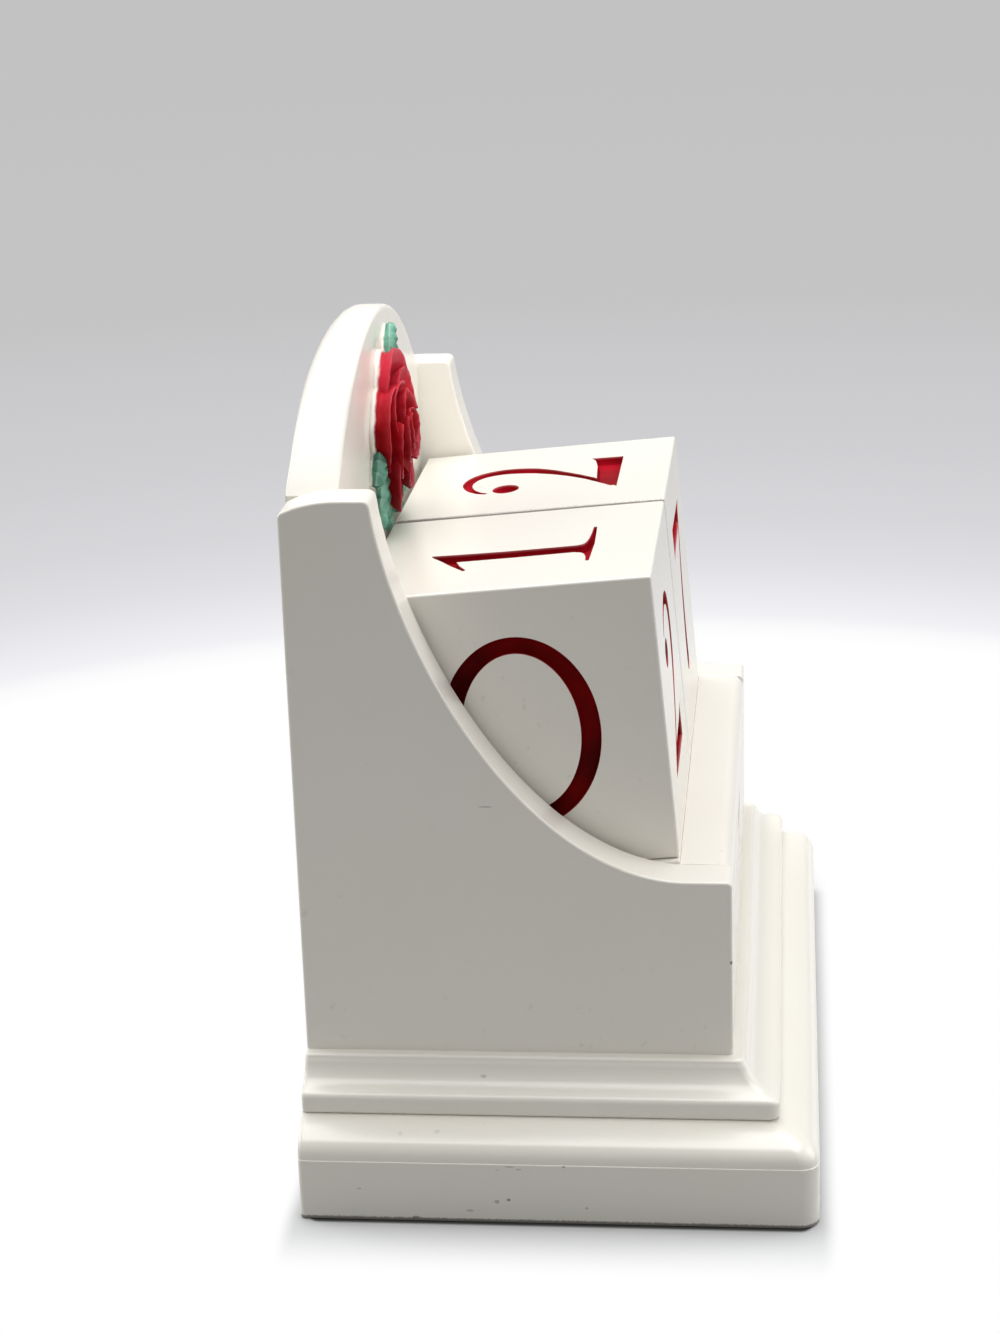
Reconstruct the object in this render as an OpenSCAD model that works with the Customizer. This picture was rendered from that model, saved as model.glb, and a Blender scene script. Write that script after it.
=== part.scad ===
// Desk calendar of painted wood: two loose date cubes lean back on a sloping seat, between side
// panels with swept front edges, above a small drawer. A relief rose decorates the arched back.
// Frame: front towards -Y, up +Z, origin on the desk at the middle of the base's outline.

/* [Date cubes] */
// Edge length of each date cube
cube_size = 50.8; // [44:0.2:60]
// Gap beside and between the cubes
cube_gap = 1.1; // [0.5:0.1:1.5]
// Radius of the cubes' softened edges
cube_edge_r = 0.8; // [0.4:0.1:2]
// Backward lean of the seat and the cubes, in degrees
lean = 4.8; // [2:0.2:8]
// Gap between a cube's underside and the seat
seat_gap = 0.1; // [0.05:0.05:0.3]

/* [Case] */
// Thickness of the boards: side panels, ledge, seat and drawer front
board_t = 8.5; // [7:0.5:11]
// Thickness of the arched back panel
back_t = 9; // [7:0.5:12]
// Height of the case from the base's top to the ledge's top
case_h = 32; // [28:1:45]
// Depth of the level ledge in front of the cubes
ledge_d = 9.2; // [8:0.2:14]
// Radius of the ledge's front top edge
ledge_r = 2.5; // [1:0.1:3.5]
// How far the seat's front edge stands above the ledge
seat_step = 0.6; // [0.2:0.1:1.5]
// Gap between the cubes' top back edge and the back panel
back_gap = 1.5; // [1:0.5:4]

/* [Side panels] */
// Rise of the side panels' tops above the cubes' front top edge
wing_over = 15.7; // [10:0.1:26]
// Depth of a side panel at its top
wing_d = 15.4; // [12:0.2:22]
// Where the swept edge leaves the level ledge, behind the case's front
sweep_start = 7.4; // [6:0.2:10]
// How far the sweep runs level before it turns up
sweep_foot = 27.4; // [15:0.2:32]
// How far the sweep runs steeply below its top
sweep_head = 25.6; // [15:0.2:32]
// Steepness of the sweep at its top, in degrees
sweep_angle = 84; // [78:0.5:88]
// Depth of the soft curve on the top's back corner
shoulder_d = 9.7; // [5:0.1:11]
// Drop of that curve at the back
shoulder_drop = 2.2; // [1:0.1:4]

/* [Back panel] */
// Drop from the side panels' tops to where the arch springs
spring_drop = 1.2; // [0.5:0.1:4]
// Rise of the arch above its springing
arch_rise = 21.5; // [15:0.5:30]

/* [Base] */
// Thickness of the lower base board
lower_t = 16.8; // [14:0.2:20]
// Thickness of the upper base board
upper_t = 8.5; // [7:0.5:11]
// Overhang of the lower base board beyond the case
lower_over = 14.8; // [13:0.2:18]
// Overhang of the upper base board beyond the case
upper_over = 8.1; // [7:0.1:9]
// Height of the upper board's plain band under its cove
band_h = 3.8; // [2.5:0.1:5]
// Radius of the upper board's cove
cove_r = 5.9; // [3.5:0.1:6]
// Height of the lower board's plain face
face_h = 11.2; // [8:0.1:11.5]
// Radius of the lower board's rounded nose
nose_r = 3.6; // [2:0.1:4.2]
// Shoulder that the cutter leaves between the nose and the plain face
nose_step = 0.4; // [0.2:0.1:0.8]
// Radius of the lower board's bottom edge
foot_r = 0.8; // [0.6:0.1:3]

/* [Drawer] */
// Thickness of the drawer's sides and back
tray_t = 5; // [3.5:0.5:7]
// Thickness of the drawer's bottom panel
tray_floor_t = 2.6; // [2:0.1:4]
// Height of the bottom panel's groove above the drawer's lower edge
groove_up = 2.4; // [1.5:0.1:4]
// Depth of the grooves that hold the bottom panel
groove_d = 2.2; // [1.5:0.1:3]
// Depth of the rebates that take the sides' front ends
rebate_d = 4; // [2.5:0.1:5]
// Gap at each side of the drawer
drawer_gap = 0.5; // [0.3:0.1:1]
// Gap under the drawer
drawer_lift = 0.3; // [0.2:0.1:0.6]
// Gap above the drawer's front and over its sides
drawer_head = 0.6; // [0.4:0.1:1.2]
// Gap behind the drawer
drawer_back_gap = 1; // [0.5:0.1:2]
// Radius of the finger notch in the drawer's front
notch_r = 9.5; // [7:0.5:11]

/* [Screws] */
// Diameter of the base screws' shanks
screw_d = 3.5; // [3:0.1:4]
// Diameter of their countersunk heads
screw_head_d = 7; // [6:0.2:8]
// Length of the base screws
screw_len = 40; // [36:1:46]
// Distance of the screws from the case's front and back
screw_inset = 14; // [10:0.5:20]
// Radial clearance of the screws in the base boards
screw_clear = 0.1; // [0.05:0.05:0.3]

/* [Rose] */
// Radius of the bloom over its widest petals
bloom_r = 15.5; // [12:0.5:17]
// Height of the bloom's lip above the back panel
bloom_h = 6.8; // [4:0.2:7]
// Distance from the arch's crown down to the bloom's centre
bloom_drop = 22; // [20:0.5:26]
// Length of the leaf above the bloom
top_leaf_len = 9.5; // [7:0.5:10]
// Length of the leaflets beside the bloom
side_leaf_len = 12; // [9:0.5:13]
// Height of the leaves' veins above the back panel
leaf_h = 2.8; // [1.4:0.1:3]

/* [Hidden] */

$fn = 64;
eps = 1;                        // overrun of a cutter past a face, or overlap of two outlines
arch_facets = 180;              // facets of the arch's full circle
edge_facets = 32;               // facets of the circles that soften the cubes' edges

// Widths
inner_w = 2 * cube_size + 3 * cube_gap;
outer_w = inner_w + 2 * board_t;

// Depths, measured back from the case's front
cube_reach = cube_size * (cos(lean) + sin(lean));
back_face = ledge_d + cube_reach + back_gap;
case_d = back_face + back_t;
front_y = (lower_over - case_d) / 2;

// Heights
case_z = lower_t + upper_t;
ledge_z = case_z + case_h;
cube_top = seat_step + cube_size * cos(lean);
wing_z = ledge_z + cube_top + wing_over;
spring_z = wing_z - spring_drop;
crown_z = spring_z + arch_rise;

// Drawer
opening_h = case_h - board_t;
seat_back_drop = (back_face - ledge_d) * tan(lean) - seat_step;
drawer_w = inner_w - 2 * drawer_gap;
drawer_d = back_face - drawer_back_gap;
drawer_z = case_z + drawer_lift;
drawer_front_h = opening_h - drawer_lift - drawer_head;
tray_h = opening_h - seat_back_drop - drawer_lift - drawer_head;
tray_d = drawer_d - board_t + rebate_d;
groove_fit = 0.1;               // clearance round the bottom panel's edge in its groove

// Petals, as shares: radii of bloom_r, heights of bloom_h
// [count, direction of the first, half angle, inner radius, outer radius, root, lip, curl]
petal_rings = [
    [5, 100, 44, 0.12, 0.96, 0.54, 0.46, 0.14],
    [5, 64, 46, 0.11, 0.70, 0.67, 0.62, 0.14],
    [3, 90, 68, 0.08, 0.45, 0.72, 0.74, 0.16],
    [2, 20, 100, 0.02, 0.25, 0.70, 0.84, 0.12]
];
petal_narrowing = 0.3;          // how much of its half angle a petal gives up towards its root
petal_round = 0.2;              // how far the lip's corners fall back
petal_point = 0.07;             // how far the lip's middle comes to a point
petal_cup = 1.2;                // depth of the hollow before the lip, as a share of the curl
petal_tilt = 0.06;              // how much higher one side of a petal lies than its middle
petal_min = 0.4;                // least height of a petal in mm
heart_r = 0.15;                 // radius of the bloom's heart
heart_h = 0.7;                  // height of the bloom's heart

// Leaves, as shares of the leaflet's length, width or leaf_h
teeth = 5;                      // teeth on each edge of a leaflet
tooth_out = 0.14;               // how far a tooth's tip stands out
tooth_in = 0.1;                 // how far the notch beside it goes in
leaf_tip = 0.06;                // least half width of a leaflet
leaf_fall = 0.45;               // drop of the leaflet's height towards its ends
leaf_crown = 0.4;               // drop of its height towards its edges
leaf_crease = 0.72;             // height of the crease along its middle vein
leaf_root = 0.88;               // radius inside which no leaf reaches, as a share of bloom_r
top_leaf_at = [0.3, 0.66];     // stalk of the top leaf, as shares of bloom_r
top_leaf_turn = 68;             // direction of the top leaf
top_leaf_width = 0.62;          // width of the top leaf
sprig_r = 0.62;                 // distance of the sprigs' stalks from the bloom's middle
// Leaflets of a sprig: [direction of the stalk, direction of the leaflet, length, width]
sprig = [
    [214, 238, 1.00, 0.60],
    [236, 262, 0.82, 0.50],
    [196, 205, 0.80, 0.50]
];

// Finishes
ivory = [0.95, 0.94, 0.89];
raw_wood = [0.83, 0.72, 0.55];
zinc = [0.7, 0.7, 0.68];
rose_red = [0.72, 0.06, 0.1];
leaf_green = [0.25, 0.55, 0.45];

// ---------- outlines ----------

function bezier(a, b, c, d, t) =
    pow(1 - t, 3) * a + 3 * pow(1 - t, 2) * t * b + 3 * (1 - t) * t * t * c + pow(t, 3) * d;

// Side panel seen from the right: x runs back from the case's front, y up from the base's top
function sweep_points(steps = 28) =
    let (foot = [sweep_start, case_h], head = [case_d - wing_d, wing_z - case_z])
    [for (i = [0:steps])
        bezier(
            foot,
            foot + [sweep_foot, 0],
            head - sweep_head * [cos(sweep_angle), sin(sweep_angle)],
            head,
            i / steps
        )];

function shoulder_points(steps = 8) =
    let (
        r = (pow(shoulder_d, 2) + pow(shoulder_drop, 2)) / (2 * shoulder_drop),
        swing = asin(shoulder_d / r),
        top = wing_z - case_z
    )
    [for (i = [0:steps])
        let (a = swing * i / steps)
        [case_d - shoulder_d + r * sin(a), top - r * (1 - cos(a))]];

module side_outline() {
    polygon(concat([[case_d, 0], [0, 0], [0, case_h]], sweep_points(), shoulder_points()));
}

// Edge of the lower board: x runs outward from the case's face, y up from the desk
module lower_edge(reach) {
    nose = [lower_over - nose_step - nose_r, face_h];
    start = [upper_over, lower_t] - nose;
    swing = atan2(start[1], start[0]) - acos(nose_r / norm(start));
    polygon([
        [-reach, 0],
        [lower_over - foot_r, 0],
        [lower_over, foot_r],
        [lower_over, face_h],
        [nose[0] + nose_r, face_h],
        nose + nose_r * [cos(swing), sin(swing)],
        [upper_over, lower_t],
        [-reach, lower_t]
    ]);
    translate(nose) circle(nose_r);
    translate([lower_over - foot_r, foot_r]) circle(foot_r);
}

// Edge of the upper board: a plain band with a cove above it
module upper_edge(reach) {
    difference() {
        translate([-reach, 0]) square([reach + upper_over, upper_t]);
        translate([upper_over, band_h + cove_r]) circle(cove_r);
    }
}

// ---------- building blocks ----------

// Extrudes an outline drawn as [depth, height] across the width from x0 to x1
module across(x0, x1) {
    translate([x0, 0, 0]) rotate([90, 0, 90]) linear_extrude(x1 - x0) children();
}

// A board whose front and side edges carry one moulded section, mitred at the corners, and whose
// back edge is plain and flush with the case. The child draws that section.
module moulded_board(z, reach_d, reach_w) {
    translate([0, 0, z]) intersection() {
        translate([0, front_y, 0]) across(-outer_w, outer_w) mirror([1, 0]) children(0);
        translate([0, front_y + case_d, 0]) rotate([90, 0, 0])
            linear_extrude(2 * case_d) {
                translate([outer_w / 2, 0]) children(1);
                mirror([1, 0]) translate([outer_w / 2, 0]) children(1);
            }
    }
}

module screw_places() {
    for (side = [-1, 1], d = [screw_inset, case_d - screw_inset])
        translate([side * (inner_w + board_t) / 2, front_y + d, 0]) children();
}

module rounded_square(size, r) {
    translate([r, 0]) square([size - 2 * r, size]);
    translate([0, r]) square([size, size - 2 * r]);
    for (x = [r, size - r], y = [r, size - r]) translate([x, y]) circle(r, $fn = edge_facets);
}

// Cube with softened edges, its lower front left corner at the origin
module soft_cube(size, r) {
    intersection() {
        linear_extrude(size) rounded_square(size, r);
        translate([0, size, 0]) rotate([90, 0, 0]) linear_extrude(size) rounded_square(size, r);
        rotate([90, 0, 90]) linear_extrude(size) rounded_square(size, r);
    }
}

// ---------- base ----------

module lower_base_board() {
    color(ivory) difference() {
        moulded_board(0) {
            lower_edge(case_d);
            lower_edge(outer_w / 2);
        }
        screw_places() {
            cylinder(h = lower_t + eps, r = screw_d / 2 + screw_clear);
            rotate_extrude() polygon([
                [0, -eps],
                [screw_head_d / 2 + screw_clear, -eps],
                [screw_head_d / 2 + screw_clear, screw_clear],
                [0, screw_head_d / 2 + 2 * screw_clear]
            ]);
        }
    }
}

module upper_base_board() {
    color(ivory) difference() {
        moulded_board(lower_t) {
            upper_edge(case_d);
            upper_edge(outer_w / 2);
        }
        screw_places() translate([0, 0, lower_t - eps])
            cylinder(h = upper_t + 2 * eps, r = screw_d / 2 + screw_clear);
    }
}

module base_screws() {
    head_h = (screw_head_d - screw_d) / 2;
    color(zinc) screw_places() translate([0, 0, screw_clear]) rotate_extrude() polygon([
        [0, 0],
        [screw_head_d / 2, 0],
        [screw_d / 2, head_h],
        [screw_d / 2, screw_len - screw_d],
        [0, screw_len]
    ]);
}

// ---------- case ----------

module side_panel(x0) {
    difference() {
        translate([0, front_y, case_z]) across(x0, x0 + board_t) side_outline();
        screw_places() translate([0, 0, case_z - eps])
            cylinder(h = screw_len + screw_clear - case_z + eps, r = screw_d / 2);
    }
}

module left_side_panel() {
    color(ivory) side_panel(-outer_w / 2);
}

module right_side_panel() {
    color(ivory) side_panel(inner_w / 2);
}

// Upright board with a segmental arch on top, standing between the side panels
module back_panel() {
    arch_r = (pow(inner_w / 2, 2) + pow(arch_rise, 2)) / (2 * arch_rise);
    color(ivory) translate([0, front_y + case_d, 0]) rotate([90, 0, 0]) linear_extrude(back_t)
        intersection() {
            translate([-inner_w / 2, case_z]) square([inner_w, crown_z - case_z]);
            union() {
                translate([-inner_w / 2, case_z]) square([inner_w, spring_z - eps - case_z]);
                translate([0, crown_z - arch_r]) circle(arch_r, $fn = arch_facets);
            }
        }
}

// Level rail over the drawer, its front top edge rounded
module front_ledge() {
    color(ivory) translate([0, front_y, ledge_z - board_t]) across(-inner_w / 2, inner_w / 2) {
        translate([ledge_r, 0]) square([ledge_d - ledge_r, board_t]);
        square([ledge_d, board_t - ledge_r]);
        translate([ledge_r, board_t - ledge_r]) circle(ledge_r);
    }
}

// Seat board that slopes down from the ledge to the back panel
module cube_seat() {
    drop = (back_face - ledge_d) * tan(lean);
    color(ivory) translate([0, front_y, ledge_z + seat_step]) across(-inner_w / 2, inner_w / 2)
        polygon([
            [ledge_d, 0],
            [ledge_d, -board_t],
            [back_face, -drop - board_t],
            [back_face, -drop]
        ]);
}

// ---------- drawer ----------

// Bottom panel's space in the front and sides, larger than the panel by its fit
module bottom_groove(fit) {
    translate([
        -drawer_w / 2 + tray_t - groove_d - fit,
        front_y + board_t - groove_d - fit,
        drawer_z + groove_up - fit
    ])
        cube([
            drawer_w - 2 * tray_t + 2 * groove_d + 2 * fit,
            drawer_d - board_t + groove_d + 2 * fit,
            tray_floor_t + 2 * fit
        ]);
}

module drawer_front() {
    color(ivory) difference() {
        translate([-drawer_w / 2, front_y, drawer_z]) cube([drawer_w, board_t, drawer_front_h]);
        for (x = [-drawer_w / 2 - eps, drawer_w / 2 - tray_t])
            translate([x, front_y + board_t - rebate_d, drawer_z - eps])
                cube([tray_t + eps, rebate_d + eps, drawer_front_h + 2 * eps]);
        bottom_groove(groove_fit);
        translate([0, front_y - eps, drawer_z + drawer_front_h]) rotate([-90, 0, 0])
            cylinder(h = board_t + 2 * eps, r = notch_r);
    }
}

module drawer_side(x0) {
    difference() {
        translate([x0, front_y + board_t - rebate_d, drawer_z]) cube([tray_t, tray_d, tray_h]);
        bottom_groove(groove_fit);
    }
}

module drawer_left_side() {
    color(raw_wood) drawer_side(-drawer_w / 2);
}

module drawer_right_side() {
    color(raw_wood) drawer_side(drawer_w / 2 - tray_t);
}

// Back of the drawer, standing on the bottom panel between the sides
module drawer_back() {
    back_z = groove_up + tray_floor_t;
    color(raw_wood)
        translate([-drawer_w / 2 + tray_t, front_y + drawer_d - tray_t, drawer_z + back_z])
            cube([drawer_w - 2 * tray_t, tray_t, tray_h - back_z]);
}

module drawer_bottom() {
    color(raw_wood) bottom_groove(0);
}

// ---------- date cubes ----------

module date_cube(x0) {
    translate([x0, front_y + ledge_d, ledge_z + seat_step]) rotate([-lean, 0, 0])
        translate([0, 0, seat_gap]) soft_cube(cube_size, cube_edge_r);
}

module left_date_cube() {
    color(ivory) date_cube(-cube_size - cube_gap / 2);
}

module right_date_cube() {
    color(ivory) date_cube(cube_gap / 2);
}

// ---------- relief rose ----------
// Drawn flat with x to the right and y up, z standing out of the back panel.

// Solid under a grid of points: rows of equal length, its underside flat on the panel
module relief(grid) {
    rows = len(grid) - 1;
    cols = len(grid[0]) - 1;
    top = [for (row = grid) each row];
    rim = concat(
        [for (j = [0:cols - 1]) j],
        [for (i = [0:rows - 1]) i * (cols + 1) + cols],
        [for (j = [cols:-1:1]) rows * (cols + 1) + j],
        [for (i = [rows:-1:1]) i * (cols + 1)]
    );
    rim_n = len(rim);
    foot = [for (k = rim) [top[k][0], top[k][1], 0]];
    polyhedron(
        concat(top, foot),
        concat(
            [for (i = [0:rows - 1], j = [0:cols - 1])
                let (k = i * (cols + 1) + j)
                each [[k, k + cols + 1, k + 1], [k + 1, k + cols + 1, k + cols + 2]]],
            [for (k = [0:rim_n - 1])
                let (next = (k + 1) % rim_n)
                [rim[k], rim[next], len(top) + next, len(top) + k]],
            [[for (k = [rim_n - 1:-1:0]) len(top) + k]]
        ),
        convexity = 6
    );
}

// One petal: turn is its direction, spread half its angle, inner and outer its radii,
// root and lip its heights there, and curl the extra rise of its rolled edge
function petal(turn, spread, inner, outer, root, lip, curl, rows = 5, cols = 6) =
    [for (i = [0:rows])
        [for (j = [0:cols])
            let (
                s = i / rows,
                t = 2 * j / cols - 1,
                a = turn - spread * t * (1 - petal_narrowing * (1 - sin(135 * s))),
                edge = outer * (1 - petal_round * t * t + petal_point * pow(1 - abs(t), 3)),
                r = inner + (edge - inner) * s,
                rise = curl * (pow(s, 4) - petal_cup * sin(180 * s)),
                h = root + (lip - root) * s + rise + petal_tilt * bloom_h * t * s
            )
            [r * cos(a), r * sin(a), max(petal_min, h)]]];

module petal_ring(count, first, spread, inner, outer, root, lip, curl) {
    for (k = [0:count - 1])
        relief(petal(
            first + 360 * k / count,
            spread,
            inner * bloom_r,
            outer * bloom_r,
            root * bloom_h,
            lip * bloom_h,
            curl * bloom_h
        ));
}

module bloom() {
    resize([0, 0, bloom_h]) {
        for (p = petal_rings) petal_ring(p[0], p[1], p[2], p[3], p[4], p[5], p[6], p[7]);
        cylinder(h = heart_h * bloom_h, r = heart_r * bloom_r, $fn = edge_facets);
    }
}

// One leaflet from its stalk at the origin along +x, its veins standing out, its edge toothed
function leaflet(length, width) =
    [for (i = [0:2 * teeth])
        [for (t = [-1, -0.5, 0, 0.5, 1])
            let (
                s = i / (2 * teeth),
                tooth = i % 2 == 0 ? 1 + tooth_out : 1 - tooth_in,
                belly = pow(sin(180 * pow(s, 0.85)), 0.8) / 2,
                half = width * max(leaf_tip, belly * tooth),
                crown = 1 - leaf_fall * pow(s - 0.4, 2) - leaf_crown * t * t
            )
            [length * s, -half * t, leaf_h * crown * (t == 0 ? leaf_crease : 1)]]];

module leaf_at(place, turn, length, width) {
    translate(place) rotate(turn) relief(leaflet(length, width));
}

// Leaves cut back to where the bloom covers them
module beside_bloom() {
    resize([0, 0, leaf_h]) difference() {
        children();
        bloom();
        cylinder(h = bloom_h, r = leaf_root * bloom_r);
    }
}

// Leaflets that spread from under the bloom to its lower left
module sprig_leaves() {
    for (p = sprig)
        leaf_at(
            sprig_r * bloom_r * [cos(p[0]), sin(p[0])],
            p[1],
            p[2] * side_leaf_len,
            p[3] * side_leaf_len
        );
}

module on_back_panel() {
    translate([0, front_y + back_face, crown_z - bloom_drop]) rotate([90, 0, 0]) children();
}

module rose_bloom() {
    color(rose_red) on_back_panel() bloom();
}

module top_leaf() {
    color(leaf_green) on_back_panel() beside_bloom()
        leaf_at(bloom_r * top_leaf_at, top_leaf_turn, top_leaf_len, top_leaf_width * top_leaf_len);
}

module left_leaves() {
    color(leaf_green) on_back_panel() beside_bloom() sprig_leaves();
}

module right_leaves() {
    color(leaf_green) on_back_panel() beside_bloom() mirror([1, 0, 0]) sprig_leaves();
}

lower_base_board();
upper_base_board();
base_screws();
left_side_panel();
right_side_panel();
back_panel();
front_ledge();
cube_seat();
drawer_front();
drawer_left_side();
drawer_right_side();
drawer_back();
drawer_bottom();
left_date_cube();
right_date_cube();
rose_bloom();
top_leaf();
left_leaves();
right_leaves();
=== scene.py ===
"""Desk calendar of painted wood: two date cubes on a sloping seat, a small drawer below them,
an arched back with a relief rose, and a moulded base.

Lengths are in millimetres until a mesh is made, when MM turns them into metres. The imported
solids give the places; the painted boards are made again here with softened edges."""

import math
import random
from contextlib import contextmanager

import bmesh
import bpy
from mathutils import Matrix, Vector

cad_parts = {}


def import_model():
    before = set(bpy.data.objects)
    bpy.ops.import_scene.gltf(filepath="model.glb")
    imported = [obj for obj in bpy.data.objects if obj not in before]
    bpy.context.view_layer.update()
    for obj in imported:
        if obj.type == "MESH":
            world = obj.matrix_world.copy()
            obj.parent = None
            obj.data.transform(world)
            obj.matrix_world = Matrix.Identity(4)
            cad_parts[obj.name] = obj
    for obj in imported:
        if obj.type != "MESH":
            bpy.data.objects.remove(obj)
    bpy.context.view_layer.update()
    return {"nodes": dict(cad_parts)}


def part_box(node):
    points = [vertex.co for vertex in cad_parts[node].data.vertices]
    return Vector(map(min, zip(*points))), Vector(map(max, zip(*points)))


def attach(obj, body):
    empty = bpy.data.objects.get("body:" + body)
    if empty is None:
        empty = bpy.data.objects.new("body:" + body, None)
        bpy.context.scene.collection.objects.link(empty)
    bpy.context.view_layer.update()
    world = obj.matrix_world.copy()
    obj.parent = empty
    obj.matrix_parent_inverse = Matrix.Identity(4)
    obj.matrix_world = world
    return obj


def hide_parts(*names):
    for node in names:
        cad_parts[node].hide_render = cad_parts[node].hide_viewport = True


MM = 0.001

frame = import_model()


def corners(node):
    """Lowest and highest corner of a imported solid, in mm."""
    low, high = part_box(node)
    return low / MM, high / MM


# ---------- measures, in mm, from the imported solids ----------

panel_low, panel_high = corners("left_side_panel")
arch_low, arch_high = corners("back_panel")
ledge_low, ledge_high = corners("front_ledge")
seat_high = corners("cube_seat")[1]
lower_low, lower_high = corners("lower_base_board")
upper_low, upper_high = corners("upper_base_board")

CASE_FRONT = panel_low.y
CASE_BACK = panel_high.y
CASE_DEPTH = CASE_BACK - CASE_FRONT
CASE_HALF = -panel_low.x
INNER_HALF = -panel_high.x
CASE_BASE = panel_low.z
LEDGE_Z = ledge_high.z
LEDGE_DEPTH = ledge_high.y - ledge_low.y
PANEL_TOP = panel_high.z
CROWN = arch_high.z
BACK_FACE = arch_low.y

# ---------- sizes in mm, repeated from the part's source or softened for the looks ----------

CUBE = 50.8
CUBE_GAP = 1.1
CUBE_EDGE = 0.5
LEAN = math.radians(4.8)
SEAT_GAP = 0.1
SWEEP_START = 7.4
SWEEP_FOOT = 27.4
SWEEP_HEAD = 25.6
SWEEP_ANGLE = math.radians(84)
WING_DEPTH = 15.4
SHOULDER_DEPTH = 9.7
SHOULDER_DROP = 2.2
ARCH_RISE = 21.5
LOWER_OVER = 14.8
UPPER_OVER = 8.1
BAND_H = 3.8
COVE_R = 5.9
FACE_H = 11.2
NOSE_R = 3.6
NOSE_STEP = 0.15
FOOT_R = 0.4
CORNER_R = 3.4
LIP_R = 0.15
BAND_UNDER_R = 0.7
BAND_TOP_R = 1.1
COVE_TOP_R = 0.8
TOP_DRAWN_IN = 0.25
SCREW_D = 3.5
SCREW_HEAD_D = 7.0
SCREW_LEN = 40.0
SCREW_INSET = 14.0
SCREW_CLEAR = 0.1
BLOOM_R = 15.5
BLOOM_H = 6.8
BLOOM_DROP = 22.0
TOP_LEAF_LEN = 9.5
SIDE_LEAF_LEN = 12.0
LEAF_H = 2.8


# ---------- outlines ----------


def arc(centre, radius, start, end, steps):
    """Points on an arc between two angles in degrees, both ends included."""
    turns = [math.radians(start + (end - start) * k / steps) for k in range(steps + 1)]
    return [(centre[0] + radius * math.cos(a), centre[1] + radius * math.sin(a)) for a in turns]


def mixed(shares, points):
    """The sum of the points, each times its share."""
    return tuple(sum(m * p for m, p in zip(shares, column)) for column in zip(*points))


def bezier(a, b, c, d, steps):
    """Points on a cubic curve, both ends included."""
    points = []
    for k in range(steps + 1):
        t = k / steps
        u = 1 - t
        points.append(mixed((u**3, 3 * u * u * t, 3 * u * t * t, t**3), (a, b, c, d)))
    return points


def rounded(points, steps=4):
    """Closed outline whose points (x, y, radius) become arcs of that radius; (x, y) stay sharp."""
    loop = []
    for k, point in enumerate(points):
        radius = point[2] if len(point) > 2 else 0
        here = Vector(point[:2])
        if radius == 0:
            loop.append(tuple(here))
            continue
        to_last = (Vector(points[k - 1][:2]) - here).normalized()
        to_next = (Vector(points[(k + 1) % len(points)][:2]) - here).normalized()
        half = to_last.angle(to_next) / 2
        centre = here + (to_last + to_next).normalized() * radius / math.sin(half)
        first = here + to_last * radius / math.tan(half) - centre
        last = here + to_next * radius / math.tan(half) - centre
        swing = first.angle_signed(last)
        for i in range(steps + 1):
            turned = first.copy()
            turned.rotate(Matrix.Rotation(-swing * i / steps, 2))
            loop.append(tuple(centre + turned))
    return loop


def inward(loop):
    """For each point of a counter-clockwise loop, the step that moves both its edges in by 1."""
    steps = []
    for k, point in enumerate(loop):
        here = Vector(point)
        before = (here - Vector(loop[k - 1])).normalized()
        after = (Vector(loop[(k + 1) % len(loop)]) - here).normalized()
        left_before = Vector((-before.y, before.x))
        left_after = Vector((-after.y, after.x))
        steps.append((left_before + left_after) / max(0.2, 1 + left_before.dot(left_after)))
    return steps


# ---------- meshes ----------


def linked(name, data):
    """A scene object for a mesh, a lamp or a camera."""
    obj = bpy.data.objects.new(name, data)
    bpy.context.scene.collection.objects.link(obj)
    return obj


def add_object(name, verts, faces, scale=MM):
    """A mesh object from points in mm, its doubles merged and its faces turned outwards."""
    mesh = bpy.data.meshes.new(name)
    mesh.from_pydata([tuple(c * scale for c in v) for v in verts], [], faces)
    clean(mesh)
    return linked(name, mesh)


@contextmanager
def editing(mesh):
    """The mesh's bmesh, written back at the end."""
    bm = bmesh.new()
    bm.from_mesh(mesh)
    yield bm
    bm.to_mesh(mesh)
    bm.free()


def clean(mesh):
    """Merges doubles, drops empty faces and turns the others outwards."""
    with editing(mesh) as bm:
        bmesh.ops.remove_doubles(bm, verts=bm.verts, dist=1e-6)
        bmesh.ops.dissolve_degenerate(bm, edges=bm.edges, dist=1e-7)
        bmesh.ops.recalc_face_normals(bm, faces=bm.faces)


def lofted(rings, closed=False):
    """Points and faces through rings of equal length, capped at both ends or closed on itself."""
    count = len(rings[0])
    verts = [v for ring in rings for v in ring]
    faces = []
    spans = len(rings) if closed else len(rings) - 1
    for i in range(spans):
        a = i * count
        b = (i + 1) % len(rings) * count
        for j in range(count):
            k = (j + 1) % count
            faces.append((a + j, a + k, b + k, b + j))
    if not closed:
        faces.append(tuple(range(count)))
        faces.append(tuple(range((len(rings) - 1) * count, len(rings) * count)))
    return verts, faces


def applied(obj):
    """Replaces an object's mesh with its evaluated one and drops its modifiers."""
    graph = bpy.context.evaluated_depsgraph_get()
    mesh = bpy.data.meshes.new_from_object(obj.evaluated_get(graph))
    obj.modifiers.clear()
    obj.data = mesh
    return obj


CREASE_OVER = math.radians(35)
MARKED_TURN = math.radians(18)


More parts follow.
